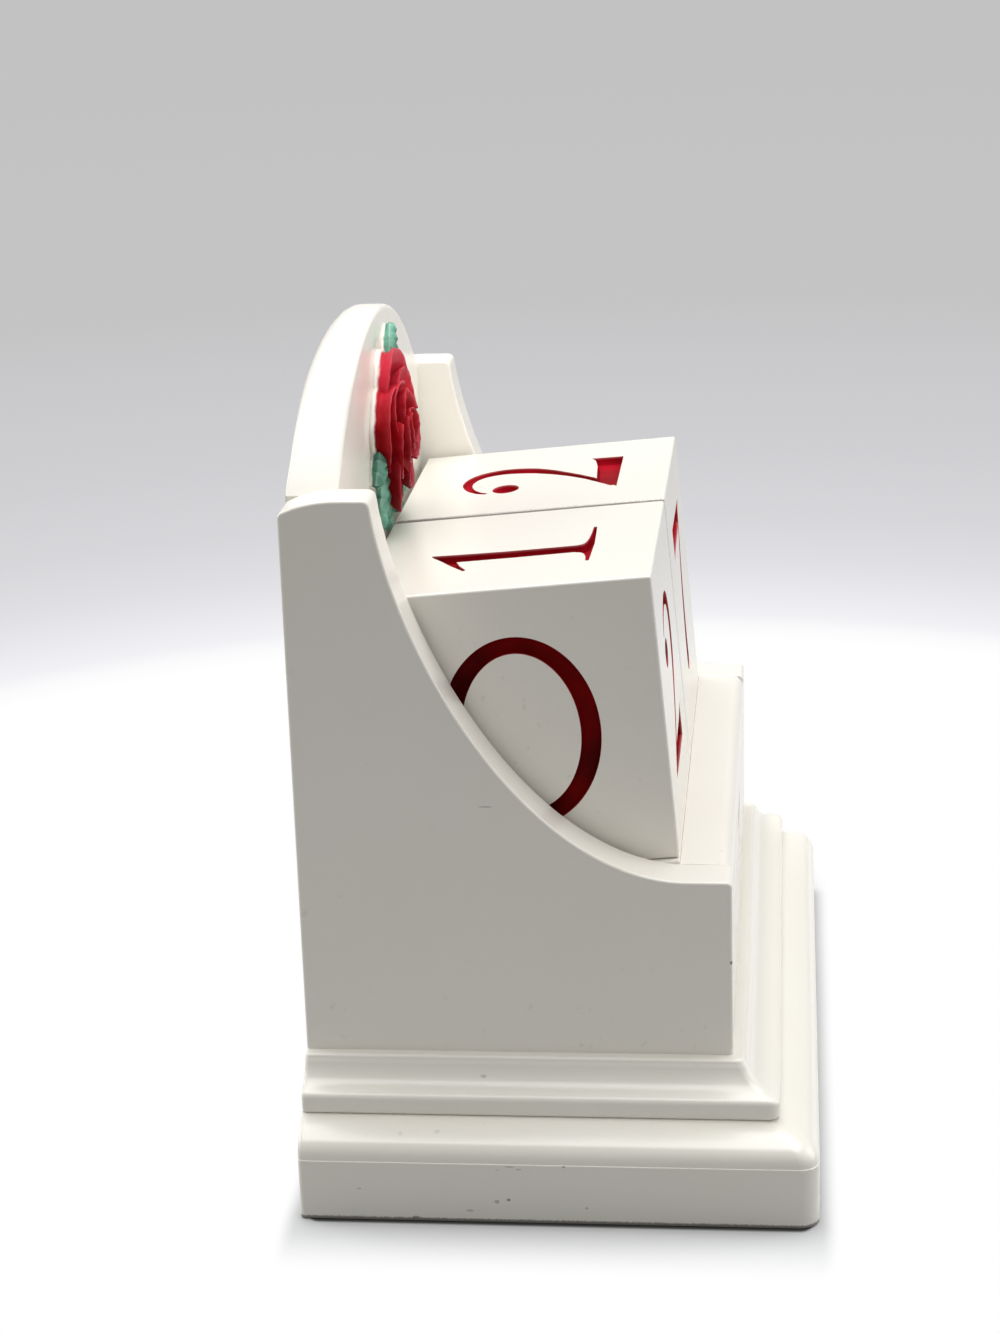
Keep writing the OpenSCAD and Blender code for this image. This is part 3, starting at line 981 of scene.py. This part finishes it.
def screw_cutters():
    """Bores and countersinks of the base boards, as solids to cut away."""
    head = SCREW_HEAD_D / 2 + SCREW_CLEAR
    bore = SCREW_D / 2 + SCREW_CLEAR
    over = CASE_BASE + 1
    profile = [
        (0, -1), (head, -1), (head, SCREW_CLEAR), (bore, head - bore + SCREW_CLEAR),
        (bore, over), (0, over),
    ]
    cutters = []
    for k, (x, y) in enumerate(screw_places()):
        cutter = revolved(f"bore_{k}", profile)
        cutter.data.transform(Matrix.Translation((x * MM, y * MM, 0)))
        cutters.append(cutter)
    return cutters


def zinc():
    """Plated steel with faint turning marks."""
    finish = Finish("screw_zinc", Metallic=1.0)
    tone = finish.ramp(finish.noise(300, 3), 0.35, 0.65)
    finish.colour(finish.mix(tone, (0.62, 0.61, 0.58, 1), (0.72, 0.71, 0.69, 1)))
    finish.rough(tone, 0.26, 0.12)
    finish.bump(finish.noise(1500, 2), 0.01)
    return finish.material


# ---------- relief rose ----------

ROSE_CENTRE = Vector((0, BACK_FACE, CROWN - BLOOM_DROP))
PETAL_ROWS = 20
PETAL_COLS = 24
# Rings of petals, as shares of the bloom's radius and height:
# count, first direction, half angle, inner and outer radius, root, lip, curl
PETAL_RINGS = [
    (5, 100, 44, 0.12, 0.97, 0.54, 0.46, 0.14),
    (5, 64, 46, 0.11, 0.72, 0.67, 0.62, 0.14),
    (3, 90, 68, 0.08, 0.46, 0.72, 0.74, 0.16),
    (2, 20, 100, 0.03, 0.26, 0.70, 0.84, 0.12),
]
# Steps of a petal's wall from its lip to the panel: how far in, in mm, and share of its height
PETAL_WALL = (
    (-0.15, 0.97), (-0.08, 0.90), (0.45, 0.74), (0.95, 0.5), (0.9, 0.32), (0.15, 0.22), (0.1, 0.0),
)
LEAF_WALL = ((-0.08, 0.9), (0.2, 0.65), (0.35, 0.4), (0.1, 0.25), (0.05, 0.0))


def out_of_panel(x, y, z):
    """Rose coordinates, x right, y up and z out of the back panel, in the frame."""
    return (ROSE_CENTRE.x + x, ROSE_CENTRE.y - z, ROSE_CENTRE.z + y)


def relief(name, rows, cols, point, wall):
    """Solid under a field of points, with a wall down to the panel. point(s, t), s from 0 to 1
    and t from -1 to 1, gives a place in rose coordinates and its lip mark."""
    field = [
        point(i / rows, 2 * j / cols - 1) for i in range(rows + 1) for j in range(cols + 1)
    ]
    verts = [Vector(place) for place, mark in field]
    values = [mark for place, mark in field]
    width = cols + 1
    rim = list(range(cols))
    rim += [i * width + cols for i in range(rows)]
    rim += [rows * width + j for j in range(cols, 0, -1)]
    rim += [i * width for i in range(rows, 0, -1)]
    faces = []
    for i in range(rows):
        for j in range(cols):
            k = i * width + j
            faces.append((k, k + width, k + width + 1, k + 1))
    middle = sum((verts[k] for k in rim), Vector()) / len(rim)
    last = rim
    for inset, share in wall:
        ring_start = len(verts)
        for k in rim:
            inwards = (middle - verts[k]).to_2d().normalized() * inset
            verts.append(Vector((verts[k].x + inwards.x, verts[k].y + inwards.y, verts[k].z * share)))
            values.append(0.35 * share**4)
        here = list(range(ring_start, len(verts)))
        for k in range(len(rim)):
            n = (k + 1) % len(rim)
            faces.append((last[k], last[n], here[n], here[k]))
        last = here
    faces.append(tuple(last))
    mesh = bpy.data.meshes.new(name)
    mesh.from_pydata([tuple(c * MM for c in out_of_panel(*v)) for v in verts], [], faces)
    layer = mesh.attributes.new("lip", "FLOAT", "POINT")
    layer.data.foreach_set("value", values)
    clean(mesh)
    smooth(mesh)
    return linked(name, mesh)


def smooth(mesh):
    """Smooth faces all over, for cast pieces."""
    for face in mesh.polygons:
        face.use_smooth = True


# How much lower the bloom's upper half is, and how far up that is complete, as shares
UPPER_SINK = 0.16
SUNK_AT = 0.45


def petal(name, turn, spread, inner, outer, root, lip, curl, wave):
    """One petal: hollow behind its lip, which is raised, a little wavy and drawn to a point. The
    bloom stands out less in its upper half."""
    turn = math.radians(turn)
    spread = math.radians(spread)

    def point(s, t):
        a = turn - spread * t * (0.7 + 0.3 * math.sin(math.radians(135 * s)))
        edge = outer * (1 - 0.2 * t * t + 0.07 * (1 - abs(t)) ** 3)
        edge *= 1 + 0.015 * math.sin(6 * t + wave)
        r = (inner + (edge - inner) * s) * BLOOM_R
        h = root + (lip - root) * s + curl * (s**4 - 1.3 * math.sin(math.pi * s))
        h += 0.15 * outer * t * s + 0.025 * s * s * math.sin(4 * t + wave)
        h += 0.008 * s * math.sin(22 * t + wave)
        h *= 1 - UPPER_SINK * min(1, max(0, r * math.sin(a) / (SUNK_AT * BLOOM_R)))
        place = (r * math.cos(a), r * math.sin(a), max(0.4, h * BLOOM_H))
        return place, max(s**14, 0.8 * abs(t) ** 16 * s)

    return relief(name, PETAL_ROWS, PETAL_COLS, point, PETAL_WALL)


def joined(name, objects):
    """One object from several, with their attributes."""
    bpy.ops.object.select_all(action="DESELECT")
    for obj in objects:
        obj.select_set(True)
    bpy.context.view_layer.objects.active = objects[0]
    bpy.ops.object.join()
    objects[0].name = name
    return objects[0]


def rose_bloom(material):
    """Rings of petals, tighter and higher towards the heart."""
    rng = random.Random(7)
    petals = []
    for count, first, spread, inner, outer, root, lip, curl in PETAL_RINGS:
        for k in range(count):
            turn = first + 360 * k / count + rng.uniform(-3, 3)
            size = outer * rng.uniform(0.97, 1.01)
            name = f"petal_{len(petals)}"
            petals.append(petal(name, turn, spread, inner, size, root, lip, curl, rng.uniform(0, 6)))
    heart = revolved("rose_heart", [(0, 0), (2.4, 0), (2.3, 3.6), (1.8, 4.6), (0.9, 5.2), (0, 5.4)])
    toward_front = Matrix.Rotation(math.radians(90), 4, "X")
    heart.data.transform(Matrix.Translation(ROSE_CENTRE * MM) @ toward_front)
    smooth(heart.data)
    bloom = joined("red_rose_bloom", petals + [heart])
    return dress(bloom, material, "case", "rose_bloom")


def above_panel(finish, low, high):
    """0 on the panel and 1 clear of it: where the painter's brush reached, raggedly."""
    height = finish.math("SUBTRACT", BACK_FACE * MM, finish.axis("Y"))
    wave = finish.math("MULTIPLY", finish.math("SUBTRACT", finish.noise(300, 2), 0.5), 0.8 * MM)
    return finish.ramp(finish.math("ADD", height, wave), low * MM, high * MM)


def rose_paint():
    """Glossy red on cast resin, with painted shade lower down and painted light higher up, thin along
    the petals' lips and left off near the panel."""
    finish = Finish("rose_red", Roughness=0.36, Specular_IOR_Level=0.05)
    wash = finish.ramp(finish.noise(160, 4, 0.6), 0.3, 0.7)
    tone = finish.mix(wash, (0.26, 0.001, 0.003, 1), (0.50, 0.006, 0.014, 1))
    middle = ROSE_CENTRE.z * MM
    height = finish.axis("Z")
    # Painted shade on the lower part of the bloom, painted light on its upper part
    painted_shade_low = finish.ramp(height, middle + 11 * MM, middle - 11 * MM)
    tone = finish.tint(tone, (0.16, 0.0008, 0.001, 1), painted_shade_low, 0.75)
    painted_light_high = finish.ramp(height, middle + 2 * MM, middle + 14 * MM)
    tone = finish.tint(tone, (0.62, 0.05, 0.09, 1), painted_light_high, 0.5)
    broken = finish.ramp(finish.noise(500, 3), 0.25, 0.6)
    lip = finish.math("MULTIPLY", finish.attribute("lip"), broken)
    tone = finish.tint(tone, (0.68, 0.11, 0.15, 1), lip, 0.6)
    finish.colour(finish.mix(above_panel(finish, 0.7, 1.1), IVORY, tone))
    finish.bump(finish.noise(420, 4, 0.6), 0.05)
    return finish.material


LEAF_ROWS = 44
LEAF_COLS = 14
LEAF_TEETH = 5


def leaflet(name, place, turn, length, width, tooth_depth=0.2):
    """One leaflet in relief: toothed edge, faint side veins, a crease along the middle."""
    heading = Matrix.Rotation(math.radians(turn), 2)

    def point(s, t):
        tooth = 1 + tooth_depth * (1 - 2 * ((s * LEAF_TEETH) % 1))
        belly = max(0.0, math.sin(math.pi * s**0.85)) ** 0.8 / 2
        half = width * max(0.05, belly * tooth)
        crown = 1 - 0.45 * (s - 0.4) ** 2 - 0.4 * t * t
        vein = 0.06 * math.cos(2 * math.pi * (s * LEAF_TEETH - 1.2 * abs(t)))
        crease = 0.28 * math.exp(-((t / 0.14) ** 2))
        z = LEAF_H * max(0.25, crown - crease + vein * (1 - t**4) - 0.04)
        along = Vector((length * s, -half * t))
        along.rotate(heading)
        mark = max(abs(t) ** 6, 0.4 * math.exp(-((t / 0.07) ** 2)))
        return (place[0] + along.x, place[1] + along.y, z), mark

    return relief(name, LEAF_ROWS, LEAF_COLS, point, LEAF_WALL)


def leaves(material):
    """The leaf above the bloom and the sprigs of three leaflets to its lower left and right."""
    stalk = (0.3 * BLOOM_R, 0.66 * BLOOM_R)
    top = leaflet("green_top_leaf", stalk, 68, 0.9 * TOP_LEAF_LEN, 0.62 * TOP_LEAF_LEN, 0.03)
    dress(top, material, "case", "top_leaf")
    sprig = [(214, 238, 1.0, 0.60), (236, 262, 0.82, 0.50), (196, 205, 0.8, 0.50)]
    reach = 0.62 * BLOOM_R
    for side, node in ((1, "left_leaves"), (-1, "right_leaves")):
        parts = []
        for k, (stalk_turn, turn, length, width) in enumerate(sprig):
            a = math.radians(stalk_turn)
            place = (side * reach * math.cos(a), reach * math.sin(a))
            heading = turn if side > 0 else 180 - turn
            size = (length * SIDE_LEAF_LEN, width * SIDE_LEAF_LEN)
            parts.append(leaflet(f"{node}_{k}", place, heading, *size))
        dress(joined("green_" + node, parts), material, "case", node)


def leaf_paint():
    """Blue-green on cast resin, its rims and veins pale, left off near the panel."""
    finish = Finish("leaf_green", Roughness=0.42, Specular_IOR_Level=0.25)
    wash = finish.ramp(finish.noise(220, 4, 0.6), 0.3, 0.7)
    tone = finish.mix(wash, (0.055, 0.19, 0.13, 1), (0.15, 0.38, 0.28, 1))
    broken = finish.ramp(finish.noise(600, 3), 0.2, 0.6)
    rim = finish.math("MULTIPLY", finish.attribute("lip"), broken)
    tone = finish.tint(tone, (0.42, 0.60, 0.50, 1), rim, 0.5)
    finish.colour(finish.mix(above_panel(finish, 0.3, 0.6), IVORY, tone))
    finish.bump(finish.noise(500, 4, 0.6), 0.04)
    return finish.material


# ---------- the object ----------


def flaws_at(x, rows):
    """Small flaws of the paint on a face at x, from rows of y, z, three radii and a strength."""
    return [((x, y, z), radii, strength) for y, z, *radii, strength in rows]


PANEL_FLAWS = flaws_at(-CASE_HALF, (
    (-29.7, 42.6, 0.5, 0.35, 0.4, 0.8),
    (11.7, 70.8, 0.3, 1.3, 0.12, 0.5),
))
BASE_SIDE = -CASE_HALF - LOWER_OVER
# Painted shade: the base's foot darkened all round where it meets what it stands on; small flaws
# follow
LOWER_FLAWS_AND_FOOT_SHADE = [((0, 0, 0), (400, 400, 0.9), 0.8)]
LOWER_FLAWS_AND_FOOT_SHADE += flaws_at(BASE_SIDE, (
    (8.0, 10.8, 0.3, 0.9, 0.12, 0.5),
    (6.4, 10.3, 0.3, 0.6, 0.12, 0.45),
    (10.1, 10.2, 0.3, 0.4, 0.1, 0.35),
    (10.3, 4.1, 0.3, 0.5, 0.4, 0.45),
    (8.3, 4.5, 0.3, 0.35, 0.3, 0.75),
    (24.4, 0.8, 0.5, 0.8, 0.3, 0.6),
    (15.0, 2.3, 0.3, 0.8, 0.25, 0.35),
    (34.1, 6.1, 0.3, 0.5, 0.2, 0.3),
    (-1.3, 11.0, 0.3, 0.35, 0.25, 0.45),
    (-5.1, 3.2, 0.3, 0.3, 0.3, 0.35),
))
LOWER_FLAWS_AND_FOOT_SHADE += flaws_at(BASE_SIDE + 3.8, (
    (27.0, 15.0, 1.2, 0.5, 0.3, 0.15),
    (20.7, 15.3, 1.2, 0.6, 0.25, 0.15),
))
UPPER_FLAWS = flaws_at(-CASE_HALF - 4, ((13.2, 22.4, 1.5, 0.6, 0.25, 0.3),))
UPPER_FLAWS += flaws_at(-CASE_HALF - 3, (
    (4.2, 26.3, 1.5, 0.5, 0.35, 0.5),
    (0.8, 26.3, 1.5, 0.4, 0.3, 0.4),
    (30.0, 26.0, 1.5, 0.4, 0.3, 0.25),
))
# Painted shade in the gap where the two cubes meet
CUBE_GAP_SHADE = [((0, seat_high.y / 2, LEDGE_Z + CUBE), (1.2, 60, 60), 0.6)]

ivory = paint("ivory_paint")
ivory_side = paint("ivory_paint_side", PANEL_FLAWS)
side_panel("left_side_panel", -CASE_HALF, -INNER_HALF, ivory_side)
side_panel("right_side_panel", INNER_HALF, CASE_HALF, ivory)
arched_back(ivory)

bores = screw_cutters()
ivory_lower = paint("ivory_paint_base", LOWER_FLAWS_AND_FOOT_SHADE, IVORY_BASE)
ivory_upper = paint("ivory_paint_moulding", UPPER_FLAWS, IVORY_BASE)
for board, section, corner_r, rear_r, material in (
    ("lower_base_board", lower_section(), CORNER_R, LOWER_REAR_R, ivory_lower),
    ("upper_base_board", upper_section(), UPPER_CORNER_R, UPPER_REAR_R, ivory_upper),
):
    moulded_board(board, section, corner_r, rear_r, bores, material)
for bore in bores:
    bpy.data.objects.remove(bore)

wood_back = bare_wood("drawer_wood_lengthwise", "y")
wood_across = bare_wood("drawer_wood_crosswise", "x")
for node, width, body in (
    ("front_ledge", 0.2, "case"),
    ("cube_seat", 0.4, "case"),
    ("drawer_front", 0.5, "drawer"),
):
    softened("painted_" + node, node, width, ivory, body)
for node, wood in (
    ("drawer_left_side", wood_back),
    ("drawer_right_side", wood_back),
    ("drawer_back", wood_across),
    ("drawer_bottom", wood_across),
):
    softened("wood_" + node, node, 0.25, wood, "drawer")

cube_ivory = paint("cube_paint", CUBE_GAP_SHADE)
red = numeral_red("numeral_red", (0.24, 0.002, 0.006, 1), (0.44, 0.006, 0.018, 1))
# A darker copy of the numerals' red for the cubes' left faces: painted shade
shaded_red = numeral_red("numeral_red_painted_shade", (0.07, 0.0008, 0.001, 1), (0.22, 0.001, 0.002, 1))
left_shown = {"left": 0, "top": 1, "front": 2, "right": 3, "back": 4, "bottom": 5}
right_shown = {"left": 0, "top": 2, "front": 7, "right": 6, "back": 1, "bottom": 8}
date_cube("left", -CUBE - CUBE_GAP / 2, left_shown, cube_ivory, red, shaded_red)
date_cube("right", CUBE_GAP / 2, right_shown, cube_ivory, red, shaded_red)

rose_bloom(rose_paint())
leaves(leaf_paint())
base_screws(zinc())


# ---------- floor, lights and camera ----------

FLOOR_RADIUS = 12.0
# Brightness of the open floor as the camera sees it, by distance from the object in metres
FLOOR_TONES = (
    (0.0, 1.0), (0.27, 1.0), (0.285, 0.89), (0.31, 0.825), (0.345, 0.745), (0.40, 0.68),
    (0.50, 0.625), (0.80, 0.555), (1.75, 0.54), (3.2, 0.54),
)
# The floor takes the scene's light up to the base, and its own tone from this far off, in metres
LIT_TO = 0.001
PLAIN_FROM = 0.018
# A painted contact shadow: the thin dark line round the base's foot, where it is full and where it
# has faded, in metres
CONTACT_TO = 0.0003
CONTACT_FADED = 0.0013
CONTACT_SHADOW_TONE = (0.09, 0.09, 0.09, 1)
# How much sooner each of the two fades ends at the front and back than at the sides
CONTACT_SHAPE = 1.6
LIT_SHAPE = 5
FLOOR_SEEN = (0.62, 0.63, 0.635, 1)
FLOOR_BOUNCE = (0.30, 0.30, 0.30, 1)
# The open floor is a little blue, more so up to this far off, in metres
BLUE_TO = 0.6
BLUE_NEAR = 1.035
BLUE_FAR = 1.01


def beside_base(finish, near, far, corner, shape):
    """0 up to a first distance from the base's outline and 1 beyond a second, in metres; corner
    is the outline's corner radius and shape draws the fade in at the front and back."""
    middle = (0, (lower_low.y + lower_high.y) / 2 * MM, 0)
    half = (lower_high.x * MM - corner, (lower_high.y - lower_low.y) / 2 * MM - corner, 0)
    offset = finish.vector("ABSOLUTE", finish.vector("SUBTRACT", finish.place, middle))
    beyond = finish.vector("MAXIMUM", finish.vector("SUBTRACT", offset, half))
    shaped = finish.vector("MULTIPLY", beyond, (1, shape, 1))
    return finish.ramp(finish.vector("LENGTH", shaped), corner + near, corner + far)


def floor():
    """A wide pale disc: near the object it takes shadows and a painted contact shadow round the
    base's foot, further off it fades to an even grey.
    """
    verts = [(x, y, 0) for x, y in arc((0, 0), FLOOR_RADIUS, 0, 357, 119)]
    obj = add_object("floor", verts, [tuple(range(len(verts)))], 1)
    finish = Finish("floor", Roughness=0.9, Base_Color=FLOOR_BOUNCE)
    reach = FLOOR_TONES[-1][0]
    distance = finish.vector("LENGTH", finish.place)
    ramp = finish.node("ValToRGB", Fac=finish.math("DIVIDE", distance, reach))
    stops = ramp.color_ramp.elements
    for k, (at, tone) in enumerate(FLOOR_TONES):
        stop = stops[k] if k < 2 else stops.new(at / reach)
        stop.position = at / reach
        blue = tone * (BLUE_NEAR if at < BLUE_TO else BLUE_FAR)
        stop.color = (tone, tone, min(1, blue), 1)
    glow = finish.node("Emission", Color=ramp.outputs[0])
    clear = beside_base(finish, CONTACT_TO, CONTACT_FADED, CORNER_R * MM, CONTACT_SHAPE)
    lit = finish.node("BsdfDiffuse", Color=finish.mix(clear, CONTACT_SHADOW_TONE, FLOOR_SEEN))
    away = beside_base(finish, LIT_TO, PLAIN_FROM, 0, LIT_SHAPE)
    seen = finish.blend(away, lit.outputs[0], glow.outputs[0])
    rays = finish.node("LightPath")
    direct = finish.math("MAXIMUM", rays.outputs["Is Camera Ray"], rays.outputs["Is Glossy Ray"])
    direct = finish.math("MAXIMUM", direct, rays.outputs["Is Transmission Ray"])
    surface = finish.blend(direct, finish.shader.outputs[0], seen)
    finish.links.new(surface, finish.nodes["Material Output"].inputs["Surface"])
    obj.data.materials.append(finish.material)


def world():
    """Soft studio room: even fill, and plain grey where the camera sees it."""
    room = bpy.data.worlds.new("studio")
    bpy.context.scene.world = room
    room.use_nodes = True
    nodes = room.node_tree.nodes
    fill = nodes["Background"]
    seen = nodes.new("ShaderNodeBackground")
    for shader, colour, strength in (
        (fill, (1.0, 0.995, 0.98, 1), 0.40),
        (seen, (0.53, 0.53, 0.54, 1), 1.0),
    ):
        shader.inputs["Color"].default_value = colour
        shader.inputs["Strength"].default_value = strength
    rays = nodes.new("ShaderNodeLightPath")
    choose = nodes.new("ShaderNodeMixShader")
    link = room.node_tree.links.new
    link(rays.outputs["Is Camera Ray"], choose.inputs[0])
    link(fill.outputs[0], choose.inputs[1])
    link(seen.outputs[0], choose.inputs[2])
    link(choose.outputs[0], nodes["World Output"].inputs["Surface"])


def softbox(name, place, size, power, aim=(0, 0, 0.06), spread=180):
    """An area lamp in metres and watts, turned to the object and unseen by the camera itself."""
    lamp = bpy.data.lights.new(name, "AREA")
    lamp.shape = "RECTANGLE"
    lamp.size = size[0]
    lamp.size_y = size[1]
    lamp.energy = power
    lamp.spread = math.radians(spread)
    obj = linked(name, lamp)
    obj.location = place
    obj.rotation_euler = (Vector(aim) - Vector(place)).to_track_quat("-Z", "Y").to_euler()
    obj.visible_camera = False
    return obj


def camera():
    """The photograph's view, as a camera model fitted to the object's edges gave it."""
    place = Vector((-495.65, -39.43, 236.1)) * MM
    yaw, pitch, roll = (math.radians(a) for a in (6.28, 17.79, -1.87))
    quarter = math.pi / 2
    data = bpy.data.cameras.new("camera")
    data.sensor_width = 36
    data.lens = 74.57
    data.clip_start = 0.02
    data.clip_end = 40
    obj = linked("camera", data)
    heading = Matrix.Rotation(yaw - quarter, 4, "Z")
    tilt = Matrix.Rotation(quarter - pitch, 4, "X") @ Matrix.Rotation(roll, 4, "Z")
    obj.matrix_world = Matrix.Translation(place) @ heading @ tilt
    bpy.context.scene.camera = obj


floor()
world()
softbox("top_softbox", (0.16, 0, 0.9), (0.8, 0.8), 7.6)
softbox("front_softbox", (0.2, -0.8, 0.5), (0.6, 0.7), 3.15)
softbox("back_softbox", (0.2, 0.8, 0.5), (0.6, 0.7), 4.0)
# Light thrown back onto the far panel by the cubes' bright tops
thrown_back = softbox(
    "thrown_back", (-0.05, 0.02, 0.165), (0.03, 0.03), 0.0029, (0.06, 0.03, 0.122), 44
)
thrown_back.visible_glossy = False
camera()
bpy.context.scene.view_settings.view_transform = "Standard"
